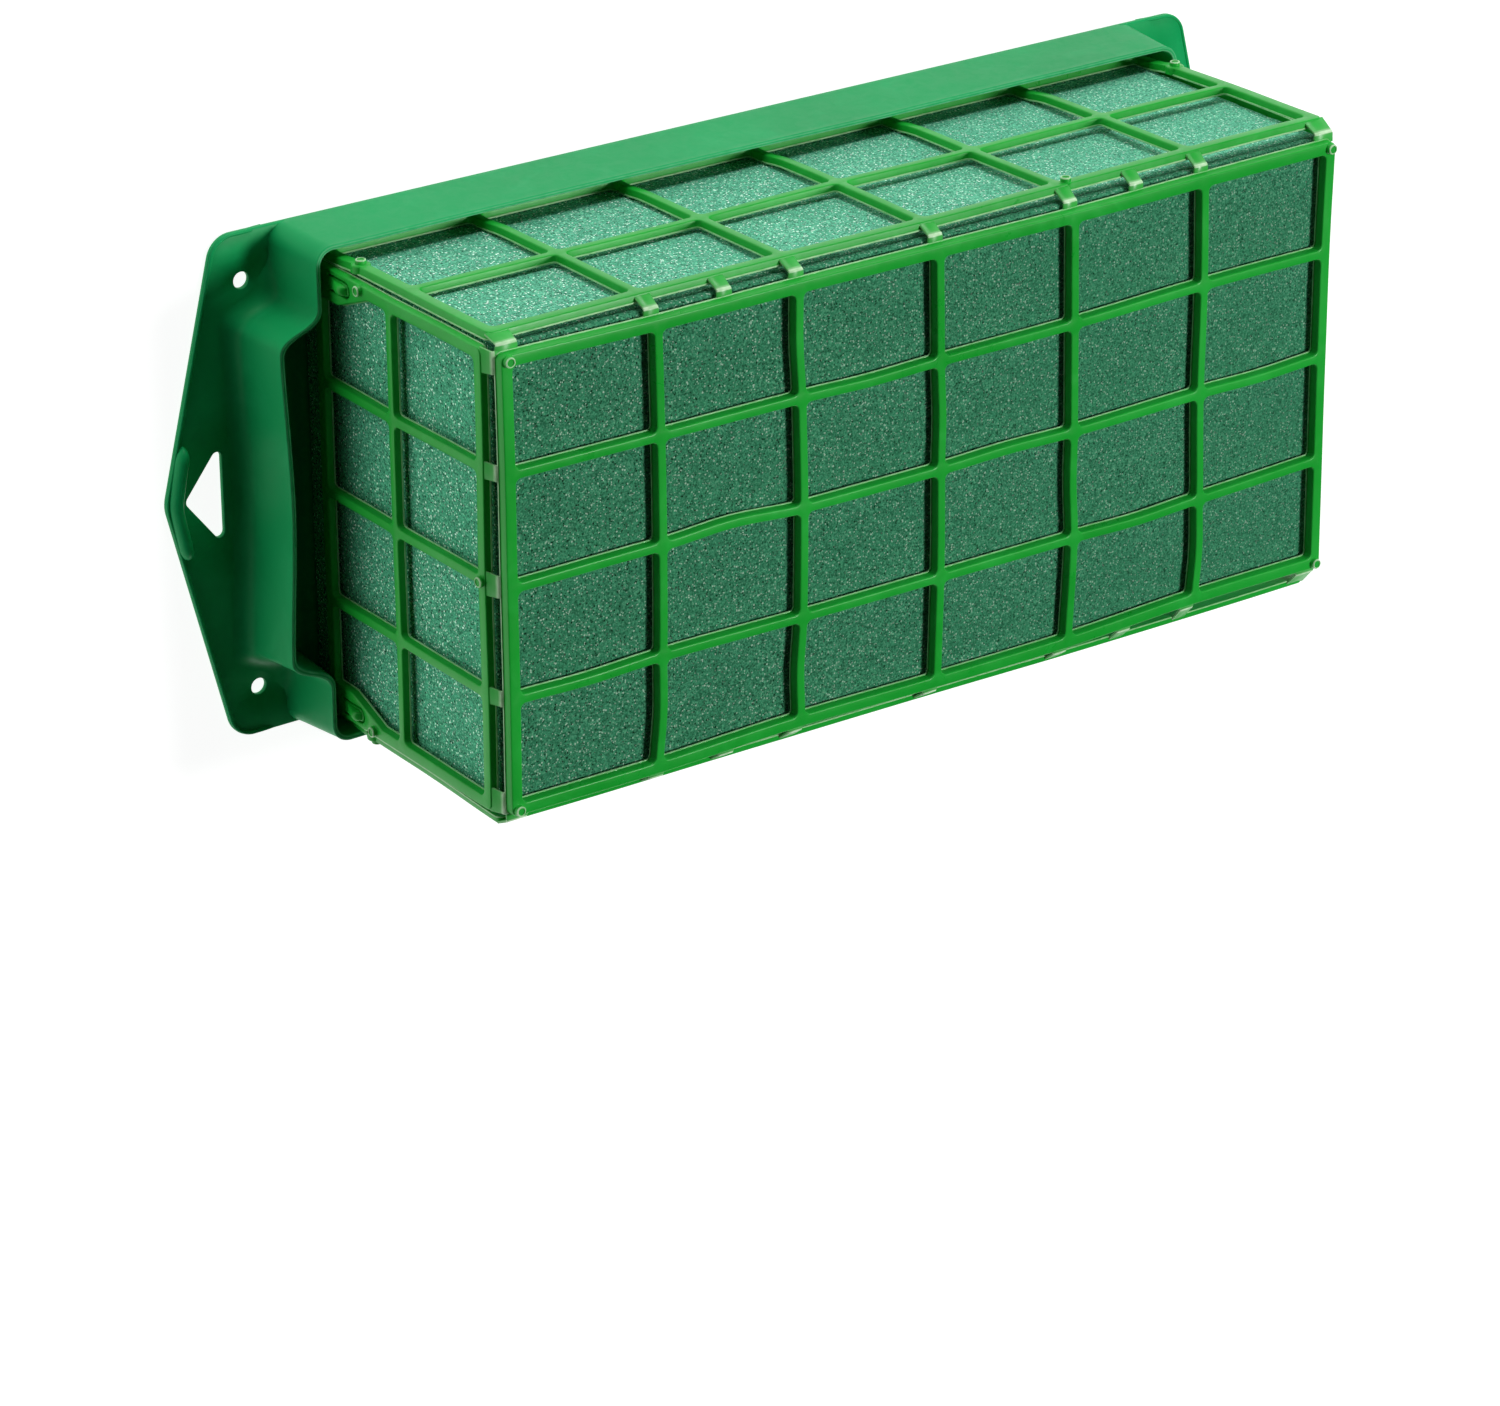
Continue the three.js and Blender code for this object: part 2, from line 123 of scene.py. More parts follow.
class Shell:
    """Collects closed surfaces in millimetres."""

    def __init__(self):
        self.verts, self.faces, self.whitening_and_highlight = [], [], []

    def ring(self, points, whitening_and_highlight=0.0):
        start = len(self.verts)
        self.verts += [tuple(p) for p in points]
        self.whitening_and_highlight += [whitening_and_highlight] * len(points)
        return list(range(start, start + len(points)))

    def bridge(self, a, b, closed=True):
        n = len(a)
        for i in range(n if closed else n - 1):
            j = (i + 1) % n
            self.faces.append((a[i], a[j], b[j], b[i]))

    def fan(self, ring, centre):
        c = self.ring([centre])[0]
        n = len(ring)
        for i in range(n):
            self.faces.append((ring[i], ring[(i + 1) % n], c))

    def fill(self, loops, ids):
        """Fills the flat region inside loops[0] and outside the others, using the vertices in ids."""
        points, edges, back = [], [], []
        for loop, own in zip(loops, ids):
            s, n = len(points), len(loop)
            points += [Vector(p) for p in loop]
            edges += [(s + i, s + (i + 1) % n) for i in range(n)]
            back += own
        verts, _, faces, orig, _, _ = delaunay_2d_cdt(points, edges, [], 0, 1e-7, True)
        back = [back[o[0]] for o in orig]
        boxes = [(min(p[0] for p in l), min(p[1] for p in l), max(p[0] for p in l), max(p[1] for p in l)) for l in loops]
        for f in faces:
            x = sum(verts[i][0] for i in f) / len(f)
            y = sum(verts[i][1] for i in f) / len(f)
            inside = [b[0] < x < b[2] and b[1] < y < b[3] and within(l, x, y) for b, l in zip(boxes, loops)]
            if inside[0] and not any(inside[1:]):
                self.faces.append(tuple(back[i] for i in f))

    def revolve(self, profile, place, sides=24, whitening_and_highlight=()):
        """Turns (radius, height) points; the first and the last stand on the axis."""
        rings = []
        for k, (r, h) in enumerate(profile[1:-1]):
            rings.append(self.ring([place(r * math.cos(2 * math.pi * i / sides), r * math.sin(2 * math.pi * i / sides), h)
                                    for i in range(sides)], 0.7 if k in whitening_and_highlight else 0.0))
        self.fan(rings[0], place(0, 0, profile[0][1]))
        for a, b in zip(rings, rings[1:]):
            self.bridge(a, b)
        self.fan(rings[-1], place(0, 0, profile[-1][1]))

    def sweep(self, path, frames, profile, cap=True, sizes=None):
        """Moves a closed profile (side, up) along a path; frames gives (side, up) directions."""
        rings = []
        for p, (side, up), k in zip(path, frames, sizes or [1.0] * len(path)):
            rings.append(self.ring([Vector(p) + Vector(side) * s * k + Vector(up) * (u * k if u > 0 else u) for s, u in profile]))
        for a, b in zip(rings, rings[1:]):
            self.bridge(a, b)
        if cap:
            for ring in (rings[0], rings[-1]):
                c = sum((Vector(self.verts[i]) for i in ring), Vector()) / len(ring)
                self.fan(ring, c)

    def build(self, name, material, sharp=38, warp=None):
        verts = [warp(*v) for v in self.verts] if warp else self.verts
        me = bpy.data.meshes.new(name)
        me.from_pydata([(x * MM, y * MM, z * MM) for x, y, z in verts], [], self.faces)
        me.validate()
        bm = bmesh.new()
        bm.from_mesh(me)
        bmesh.ops.recalc_face_normals(bm, faces=bm.faces)
        bm.to_mesh(me)
        bm.free()
        if any(self.whitening_and_highlight):
            me.attributes.new("whitening_and_highlight", "FLOAT", "POINT").data.foreach_set("value", self.whitening_and_highlight)
        me.shade_smooth()
        me.set_sharp_from_angle(angle=math.radians(sharp))
        me.materials.append(material)
        ob = bpy.data.objects.new(name, me)
        bpy.context.scene.collection.objects.link(ob)
        return ob


def rounded(corners, radii, offset=0.0, k=5, step=3.2):
    """A closed outline with rounded corners. A positive offset moves every side inwards."""
    n = len(corners)
    area = sum(corners[i][0] * corners[(i + 1) % n][1] - corners[(i + 1) % n][0] * corners[i][1] for i in range(n))
    if area < 0:
        corners, radii = corners[::-1], (radii[::-1] if isinstance(radii, list) else radii)
    if not isinstance(radii, list):
        radii = [radii] * n
    pts = [Vector(p) for p in corners]
    dirs = [(pts[(i + 1) % n] - pts[i]).normalized() for i in range(n)]
    nrm = [Vector((-d.y, d.x)) for d in dirs]
    moved = []
    for i in range(n):
        a, b = i - 1, i
        p, q = pts[i] + nrm[a] * offset, pts[i] + nrm[b] * offset
        cross = dirs[a].x * dirs[b].y - dirs[a].y * dirs[b].x
        if abs(cross) < 1e-6:
            moved.append(p)
        else:
            w = q - p
            t = (w.x * dirs[b].y - w.y * dirs[b].x) / cross
            moved.append(p + dirs[a] * t)
    out = []
    for i in range(n):
        a, b = i - 1, i
        cross = dirs[a].x * dirs[b].y - dirs[a].y * dirs[b].x
        dot = dirs[a].dot(dirs[b])
        theta = math.atan2(abs(cross), dot)
        sign = 1 if cross > 0 else -1
        r = max(radii[i] - sign * offset, 0.06)
        t = r * math.tan(theta / 2)
        start = moved[i] - dirs[a] * t
        centre = start + nrm[a] * (r * sign)
        arm = start - centre
        arc = []
        for s in range(k + 1):
            ang = sign * theta * s / k
            arc.append(centre + Vector((arm.x * math.cos(ang) - arm.y * math.sin(ang), arm.x * math.sin(ang) + arm.y * math.cos(ang))))
        out.append(arc)
    loop = []
    for i in range(n):
        loop += out[i]
        nxt = out[(i + 1) % n][0]
        m = max(int((pts[(i + 1) % n] - pts[i]).length / step) - 1, 0)
        for s in range(m):
            loop.append(out[i][-1].lerp(nxt, (s + 1) / (m + 1)))
    return [(p.x, p.y) for p in loop]


# ---- materials ------------------------------------------------------------------------------------
class Nodes:
    def __init__(self, name):
        self.mat = bpy.data.materials.new(name)
        self.mat.use_nodes = True
        self.tree = self.mat.node_tree
        self.shader = self.tree.nodes["Principled BSDF"]
        self.coord = self.tree.nodes.new("ShaderNodeTexCoord").outputs["Object"]

    def add(self, kind, **inputs):
        node = self.tree.nodes.new(kind)
        for key, value in inputs.items():
            if hasattr(node, key) and key not in node.inputs:
                setattr(node, key, value)
            else:
                self.put(node, key, value)
        return node

    def put(self, node, key, value):
        socket = node.inputs[key]
        if isinstance(value, bpy.types.NodeSocket):
            self.tree.links.new(value, socket)
        else:
            socket.default_value = value

    def noise(self, scale, detail=2.0, rough=0.5, coord=None, distortion=0.0):
        n = self.tree.nodes.new("ShaderNodeTexNoise")
        self.tree.links.new(coord or self.coord, n.inputs["Vector"])
        n.inputs["Scale"].default_value = scale
        n.inputs["Detail"].default_value = detail
        n.inputs["Roughness"].default_value = rough
        n.inputs["Distortion"].default_value = distortion
        return n.outputs["Fac"]

    def ramp(self, fac, stops):
        n = self.tree.nodes.new("ShaderNodeValToRGB")
        self.tree.links.new(fac, n.inputs["Fac"])
        e = n.color_ramp.elements
        while len(e) < len(stops):
            e.new(0.5)
        for el, (at, colour) in zip(e, stops):
            el.position = at
            el.color = colour if len(colour) == 4 else (*colour, 1.0)
        return n.outputs["Color"]

    def level(self, fac, a, b, lo=0.0, hi=1.0):
        n = self.tree.nodes.new("ShaderNodeMapRange")
        self.tree.links.new(fac, n.inputs["Value"])
        for key, value in (("From Min", a), ("From Max", b), ("To Min", lo), ("To Max", hi)):
            n.inputs[key].default_value = value
        return n.outputs["Result"]

    def mix(self, fac, a, b, blend="MIX"):
        n = self.tree.nodes.new("ShaderNodeMix")
        n.data_type = "RGBA"
        n.blend_type = blend
        for socket, value in ((n.inputs[0], fac), (n.inputs[6], a), (n.inputs[7], b)):
            if isinstance(value, bpy.types.NodeSocket):
                self.tree.links.new(value, socket)
            else:
                socket.default_value = value
        return n.outputs[2]

    def maths(self, op, a, b=None):
        n = self.tree.nodes.new("ShaderNodeMath")
        n.operation = op
        for socket, value in zip(n.inputs, (a, b)):
            if value is None:
                continue
            if isinstance(value, bpy.types.NodeSocket):
                self.tree.links.new(value, socket)
            else:
                socket.default_value = value
        return n.outputs[0]

    def bump(self, height, strength, distance, normal=None):
        n = self.tree.nodes.new("ShaderNodeBump")
        self.tree.links.new(height, n.inputs["Height"])
        n.inputs["Strength"].default_value = strength
        n.inputs["Distance"].default_value = distance
        if normal is not None:
            self.tree.links.new(normal, n.inputs["Normal"])
        return n.outputs["Normal"]


def moulded(name, colour, dark, light, white, rough, specular, grain=0.00002):
    """Moulded plastic: slow shifts of tone, flow marks, a fine orange peel and faint rubs. Vertices
    weighted in the mesh are whiter than the rest: partly the whitening of thin flash and sharply bent plastic, partly
    painted highlights on edges, rims and stud rings."""
    m = Nodes(name)
    slow = m.noise(14, 3, 0.55)
    flow = m.noise(60, 4, 0.6, distortion=1.2)
    base = m.mix(m.level(slow, 0.32, 0.68), dark, colour)
    base = m.mix(m.level(flow, 0.52, 0.80, 0.0, 0.45), base, light)
    # the mesh weight whitens the plastic: real whitening of flash and bends, and painted highlights
    whitening_and_highlight_attr = m.tree.nodes.new("ShaderNodeAttribute")
    whitening_and_highlight_attr.attribute_name = "whitening_and_highlight"
    patchy = m.level(m.noise(420, 2, 0.5), 0.30, 0.62, 0.55, 1.0)
    base = m.mix(m.maths("MULTIPLY", whitening_and_highlight_attr.outputs["Fac"], patchy), base, white)
    m.put(m.shader, "Base Color", base)
    rubs = m.noise(260, 3, 0.7, distortion=0.6)
    m.put(m.shader, "Roughness", m.maths("ADD", m.level(slow, 0.3, 0.7, rough - 0.05, rough + 0.05), m.level(rubs, 0.35, 0.75, -0.04, 0.08)))
    m.shader.inputs["Specular IOR Level"].default_value = specular
    peel = m.noise(900, 3, 0.6)
    dents = m.noise(70, 2, 0.5)
    nrm = m.bump(dents, 0.35, 0.00018)
    m.put(m.shader, "Normal", m.bump(peel, 0.6, grain, nrm))
    return m.mat


CAGE = moulded("cage_plastic", srgb(26, 174, 54), srgb(18, 158, 44), srgb(52, 192, 78), srgb(214, 244, 206), 0.34, 0.28)
TRAY = moulded("tray_plastic", srgb(20, 166, 94), srgb(14, 152, 84), srgb(38, 178, 108), srgb(150, 220, 180), 0.42, 0.10)


def foam_material():
    """Open-celled foam on a mottled ground, with bright specks painted as glints, brighter than white, and dark pits
    painted as shade in the pores.
    The upper face is darkened as painted shade, the darkening runs 2 to 3 mm down the sides as a painted band of shade,
    and the ends are darkened less, also as painted shade."""
    m = Nodes("foam")
    grain = m.noise(2100, 2.5, 0.65)
    coarse = m.noise(760, 2, 0.6)
    patch = m.noise(34, 4, 0.6)
    base = m.ramp(m.level(grain, 0.30, 0.72), [(0.0, srgb(46, 128, 96)), (0.38, srgb(90, 184, 148)), (0.62, srgb(118, 212, 174)), (1.0, srgb(168, 240, 208))])
    base = m.mix(m.level(patch, 0.35, 0.65, 0.0, 0.35), base, srgb(88, 184, 146))
    base = m.mix(m.level(coarse, 0.58, 0.76, 0.0, 0.50), base, srgb(58, 142, 108))
    cell = m.tree.nodes.new("ShaderNodeTexVoronoi")
    m.tree.links.new(m.coord, cell.inputs["Vector"])
    cell.inputs["Scale"].default_value = 1750
    cell_tone = m.tree.nodes.new("ShaderNodeSeparateColor")
    m.tree.links.new(cell.outputs["Color"], cell_tone.inputs["Color"])
    painted_glint = pit = None
    for scale, share, shift in ((1650, 0.09, 0.0), (2300, 0.12, 3.7)):
        cells = m.tree.nodes.new("ShaderNodeTexVoronoi")
        moved = m.tree.nodes.new("ShaderNodeVectorMath")
        moved.operation = "ADD"
        m.tree.links.new(m.coord, moved.inputs[0])
        moved.inputs[1].default_value = (shift, shift * 0.4, shift * 0.7)
        m.tree.links.new(moved.outputs[0], cells.inputs["Vector"])
        cells.inputs["Scale"].default_value = scale
        tone = m.tree.nodes.new("ShaderNodeSeparateColor")
        m.tree.links.new(cells.outputs["Color"], tone.inputs["Color"])
        near = m.level(cells.outputs["Distance"], 0.46, 0.34)
        g = m.maths("MULTIPLY", near, m.level(tone.outputs["Red"], 1 - share - 0.03, 1 - share + 0.03))
        p = m.maths("MULTIPLY", near, m.level(tone.outputs["Green"], 1 - share - 0.03, 1 - share + 0.03))
        painted_glint = g if painted_glint is None else m.maths("MAXIMUM", painted_glint, g)
        pit = p if pit is None else m.maths("MAXIMUM", pit, p)
    # where on the block a point lies
    place = m.tree.nodes.new("ShaderNodeSeparateXYZ")
    m.tree.links.new(m.coord, place.inputs["Vector"])
    x0, x1 = FOAM_LOW[0] * MM, FOAM_HIGH[0] * MM
    crisp = m.level(place.outputs["X"], x0, x1, 0.55, 1.0)
    swing = m.maths("MULTIPLY", m.maths("SUBTRACT", cell_tone.outputs["Blue"], 0.5), m.maths("MULTIPLY", crisp, 0.55))
    base = m.mix(1.0, base, m.maths("ADD", 0.98, swing), "MULTIPLY")
    # painted glints: sparse bright specks whose colour is brighter than white, stronger towards +X
    base = m.mix(m.maths("MULTIPLY", m.maths("MULTIPLY", painted_glint, crisp), 0.95), base, (1.25, 1.40, 1.32, 1.0))
    # painted shade in the pores: the pits, which the bump also sinks, are darkened almost to black
    base = m.mix(m.maths("MULTIPLY", m.maths("MULTIPLY", pit, crisp), 0.90), base, srgb(6, 44, 28))
    # painted shade: the upper face and the top 2 to 3 mm of the sides are darkened
    top = m.level(place.outputs["Z"], (FOAM_HIGH[2] - 3.2) * MM, (FOAM_HIGH[2] - 2.2) * MM)
    # painted shade: the end faces are darkened, less than the upper face
    ends = m.level(m.maths("ABSOLUTE", place.outputs["X"]), x1 - 0.7 * MM, x1 - 0.25 * MM)
    base = m.mix(top, base, TOP_PAINTED_SHADE, "MULTIPLY")
    base = m.mix(m.maths("MULTIPLY", ends, m.maths("SUBTRACT", 1.0, top)), base, END_PAINTED_SHADE, "MULTIPLY")
    m.put(m.shader, "Base Color", base)
    m.shader.inputs["Roughness"].default_value = 0.9
    m.shader.inputs["Specular IOR Level"].default_value = 0.10
    height = m.maths("ADD", grain, m.maths("MULTIPLY", coarse, 1.4))
    height = m.maths("SUBTRACT", height, m.maths("MULTIPLY", pit, 0.8))
    m.put(m.shader, "Normal", m.bump(height, 0.8, 0.00030))
    return m.mat


# painted shade tones: the upper face is darkened most, the ends less
TOP_PAINTED_SHADE = (0.33, 0.44, 0.36, 1.0)
END_PAINTED_SHADE = (0.70, 0.90, 0.80, 1.0)
FOAM = foam_material()

# ---- camera ---------------------------------------------------------------------------------------
cam = bpy.data.cameras.new("camera")
cam.sensor_fit = "HORIZONTAL"
cam.sensor_width = 36.0
cam.lens = 36.0 * 5479.6 / 1500.0
cam.clip_start, cam.clip_end = 0.05, 30.0
cam_ob = bpy.data.objects.new("camera", cam)
right = Vector((-0.8104884, 0.0028132, 0.5857479))
down = Vector((0.2469436, 0.9084209, 0.3373283))
ahead = Vector((-0.5311566, 0.4180473, -0.7369593))
turn = Matrix((right, -down, -ahead)).transposed().to_4x4()
cam_ob.matrix_world = Matrix.Translation((0.72092, -0.48000, 1.01153)) @ turn
bpy.context.scene.collection.objects.link(cam_ob)
bpy.context.scene.camera = cam_ob


# ---- how far the moulding stands from true ---------------------------------------------------------
# Thin mouldings bow when they cool. Each table gives, in millimetres, how far the grid's crossings
# stand from their even places: rows from -Y to +Y, and columns from +X to -X.
GRID_DX = [
    [0.2, -0.4, 0.6, 0.2, 0.2, 0.4, 0.8],
    [0.0, -0.9, -0.3, -0.5, -0.5, -0.4, 1.1],
    [0.0, -1.1, -0.9, -0.9, -1.0, -0.3, 0.9],
    [0.0, -0.8, -0.7, -1.0, -1.8, -1.1, 0.5],
    [0.0, 0.6, -0.1, -0.5, -0.7, -0.6, 0.2],
]
GRID_DY = [
    [0.6, 1.1, 0.8, 0.9, 1.0, 0.4, 0.0],
    [0.3, 0.6, 0.7, 0.8, 0.6, -0.4, -0.5],
    [0.2, 0.1, 0.6, 0.8, 0.7, 0.1, -0.6],
    [0.1, 0.0, 0.6, 0.8, 1.0, 0.5, -0.6],
    [0.0, 0.3, -0.4, 0.3, 0.6, -0.7, -0.5],
]
# how far the front panel stands out, from its bottom bar to its top bar
FRONT_OUT = [
    [0.1, 0.1, 0.2, 0.2, 0.2, 0.3, 0.3],
    [0.2, 0.4, 0.3, 0.8, 0.7, 1.2, 1.2],
    [0.3, 0.6, 0.7, 0.7, 1.1, 1.6, 1.7],
]
BACK_OUT = [
    [0.2, 0.2, 0.1, 0.1, 0.1, 0.1, 0.1],
    [1.3, 1.3, 1.2, 1.0, 0.8, 0.7, 0.5],
    [3.0, 2.9, 2.7, 2.4, 2.0, 1.6, 1.1],
]
# single bars that sag or arch between two crossings: column, row, how far
ROW_BOWS = [(1, 2, -1.0), (0, 3, 0.5), (2, 1, 0.4), (4, 3, 0.5), (3, 2, -0.4), (5, 2, 0.5)]
COL_BOWS = [(1, 3, -0.5), (2, 3, 0.6), (3, 1, -0.4), (4, 2, 0.5), (5, 3, -0.5), (2, 0, 0.4)]


def table(rows, s, t):
    return catmull([catmull(row, s) for row in rows], t)


def grid_warp(u, v, n):
    s = (COL_HALF - u) / (2 * COL_HALF) * 6
    t = (v + ROW_HALF) / (2 * ROW_HALF) * 4
    du, dv = table(GRID_DX, s, t), table(GRID_DY, s, t)
    for i, j, far in ROW_BOWS:
        if i < s < i + 1:
            dv += far * math.sin(math.pi * (s - i)) ** 2 * math.exp(-((t - j) * 27 / 6.0) ** 2)
    for i, j, far in COL_BOWS:
        if j < t < j + 1:
            du += far * math.sin(math.pi * (t - j)) ** 2 * math.exp(-((s - i) * 39.3 / 6.0) ** 2)
    dn = 0.25 * noise.noise(Vector((u * 0.017, v * 0.023, 3.1)))
    return u + du, v + dv, n + dn


def panel_warp(half, seed, out=None, flare=0.3):
    def warp(u, v, n):
        s = (half - u) / (2 * half)
        t = (v - PANEL_LOW) / (PANEL_HIGH - PANEL_LOW)
        top = smooth((v - 20) / 30)
        du = 0.5 * top * noise.noise(Vector((u * 0.016, v * 0.03, seed)))
        dv = 0.45 * top * noise.noise(Vector((u * 0.021, v * 0.02, seed + 7.3)))
        if out:
            dn = table(out, s * 6, min(max(t, 0), 1) * 2) if v > 20 else -0.35
            lift = smooth((v - 18) / 8)
            dn = -0.35 * (1 - lift) + dn * lift
        else:
            dn = flare * top * (0.6 + noise.noise(Vector((u * 0.012, v * 0.012, seed + 2.2))))
        return u + du, v + dv, n + dn
    return warp


# ---- the window grids --------------------------------------------------------------------------------
# Each bar has a crowned face, drafted sides and a thin flash line along its rear edge.
FLASH = 6                                      # the level where the flash line starts


def levels(depth):
    return [(0.0, -0.34), (-0.03, -0.22), (-0.09, -0.10), (-0.20, -0.02), (-0.34, 0.02), (0.44 - depth, 0.16),
            (0.40 - depth, 0.40), (0.12 - depth, 0.44), (-depth, 0.32)]


def evenly(half, cells):
    return [-half + 2 * half * i / cells for i in range(cells + 1)]


def moulded_grid(shell, us, vs, windows, slots, place, depth):
    """us, vs: the outer bars' middles. windows: outlines (corners, radii). slots: narrow cuts."""
    o = FRAME_W / 2
    u0, u1, v0, v1 = us[0] - o, us[-1] + o, vs[0] - o, vs[-1] + o
    outer = [(u0, v0), (u1, v0), (u1, v1), (u0, v1)]
    flats, ids = [], []
    for k, (n, grow) in enumerate(levels(depth)):
        loops = [rounded(outer, 1.5, -grow, 5, 3.2)]
        loops += [rounded(c, r, grow, 5, 3.2) for c, r in windows]
        loops += [rounded(c, r, grow * 0.35, 4, 1.5) for c, r in slots]
        flats.append(loops)
        # the flash levels are whitened: partly thin flash, partly a painted highlight along the rear edge
        ids.append([shell.ring([place(u, v, n) for u, v in loop], 0.55 if k in (FLASH, FLASH + 1) else 0.0) for loop in loops])
    for a, b in zip(ids, ids[1:]):
        for x, y in zip(a, b):
            shell.bridge(x, y)
    shell.fill(flats[0], ids[0])
    shell.fill(flats[-1], ids[-1])


def plain_windows(us, vs, skip=()):
    def half(values, i):
        return (FRAME_W if i in (0, len(values) - 1) else BAR_W) / 2
    out = []
    for i in range(len(us) - 1):
        for j in range(len(vs) - 1):
            if (i, j) in skip:
                continue
            a, b = us[i] + half(us, i), us[i + 1] - half(us, i + 1)
            c, d = vs[j] + half(vs, j), vs[j + 1] - half(vs, j + 1)
            out.append(([(a, c), (b, c), (b, d), (a, d)], WINDOW_R))
    return out


def stud(shell, place, u, v, r=STUD_R, h=STUD_H):
    profile = [(0, h - 0.22), (r - 0.52, h - 0.22), (r - 0.42, h - 0.10), (r - 0.28, h), (r - 0.12, h - 0.02), (r - 0.02, h - 0.14), (r + 0.02, h - 0.35), (r + 0.06, 0.12), (r + 0.25, -0.08), (r + 0.2, -0.9), (0, -0.9)]
    # the ring at the stud's top is whitened as a painted highlight
    shell.revolve(profile, lambda a, b, n: place(u + a, v + b, n), 28, (2, 3, 4))


def boss(shell, place, u, v, r):
    profile = [(0, 0.10), (r - 0.5, 0.10), (r - 0.2, 0.03), (r - 0.05, -0.12), (r, -0.4), (r + 0.08, -1.8), (0, -1.8)]
    shell.revolve(profile, lambda a, b, n: place(u + a, v + b, n), 32)


def catch(shell, place, m):
    """The spring tongue's raised catch: a rounded ramp that bows outwards."""
    w, low, high = 1.3, 19.8, 26.5
    rings = []
    for s in range(13):
        t = s / 12
        v = low + (high - low) * t
        h = 1.75 * math.sin(math.pi * min(t / 0.78, 1.0) / 2) ** 1.3 if t < 0.78 else 1.75 * math.cos((t - 0.78) / 0.22 * math.pi / 2) ** 0.6
        h = max(h, 0.02)
        half = w * (1 - 0.35 * max(0.0, (t - 0.7) / 0.3) ** 2)
        ring = []
        for q in range(11):
            a = math.pi * q / 10
            ring.append(place(m + half * math.cos(a), v, h * math.sin(a) ** 0.55 if 0 < q < 10 else 0.0))
        for q in (1, 0):
            ring.append(place(m + half * (1 if q == 0 else -1) * 0.9, v, -0.8))
        rings.append(shell.ring(ring))
    for a, b in zip(rings, rings[1:]):
        shell.bridge(a, b)
    for ring in (rings[0], rings[-1]):
        c = sum((Vector(shell.verts[i]) for i in ring), Vector()) / len(ring)
        shell.fan(ring, c)


def nick(shell, place, u, v, r=0.35):
    """A trimmed gate mark: a low irregular pip."""
    shell.revolve([(0, r * 0.8), (r * 0.6, r * 0.7), (r, r * 0.2), (r * 1.1, -0.3), (0, -0.3)], lambda a, b, n: place(u + a, v + b * 0.8, n), 10)


cols, rows = evenly(COL_HALF, 6), evenly(ROW_HALF, 4)


def top_place(u, v, n):
    u, v, n = grid_warp(u, v, n)
    return (u, v, TOP_Z + n)


shell = Shell()
moulded_grid(shell, cols, rows, plain_windows(cols, rows), [], top_place, BAR_D)
for x in (-COL_HALF, COL_HALF):
    for y in (-ROW_HALF, ROW_HALF):
        stud(shell, top_place, x - 0.3 * math.copysign(1, x), y)
top_grid = shell.build("top_grid_moulding", CAGE)
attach(top_grid, "cage")
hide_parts("cage_top_grid")

# where the panels stand: u along the panel, v up, n outwards
SIDES = {
    "front": (SIDE_FACE, lambda f: (lambda u, v, n: (u, -(f + n), v))),
    "back": (SIDE_FACE, lambda f: (lambda u, v, n: (-u, f + n, v))),
    "right": (END_FACE, lambda f: (lambda u, v, n: (f + n, u, v))),
    "left": (END_FACE, lambda f: (lambda u, v, n: (-(f + n), -u, v))),
}
WARPS = {
    "front": panel_warp(COL_HALF, 1.7, FRONT_OUT),
    "back": panel_warp(COL_HALF, 5.2, BACK_OUT),
    "right": panel_warp(ROW_HALF, 9.4, None, 0.35),
    "left": panel_warp(ROW_HALF, 13.9, None, 0.5),
}


def gusset_windows(side):
    """The two lower outer windows of an end panel, with a filled corner, and the tongue's slot."""
    o = FRAME_W / 2
    inner = ROW_HALF - o
    mid = rows[3] + BAR_W / 2
    bottom, top = PANEL_LOW + o, END_MID - BAR_W / 2
    window = [(side * mid, bottom), (side * GUSSET_IN, bottom), (side * (GUSSET_IN + 0.05), GUSSET_TOP - 12.5),
              (side * inner, GUSSET_TOP), (side * inner, top), (side * mid, top)]
    radii = [WINDOW_R, 0.8, 4.5, 3.0, WINDOW_R, WINDOW_R]
    m, w, k, high = side * (ROW_HALF - 1.7), 1.5, 0.5, 26.9
    slot = [(m - w - k, 18.2), (m - w, 18.2), (m - w, high), (m + w, high), (m + w, 18.2), (m + w + k, 18.2),
            (m + w + k, high + k), (m - w - k, high + k)]
    slot_r = [0.15, 0.15, 1.4, 1.4, 0.15, 0.15, 1.9, 1.9]
    return (window, radii), (slot, slot_r), m


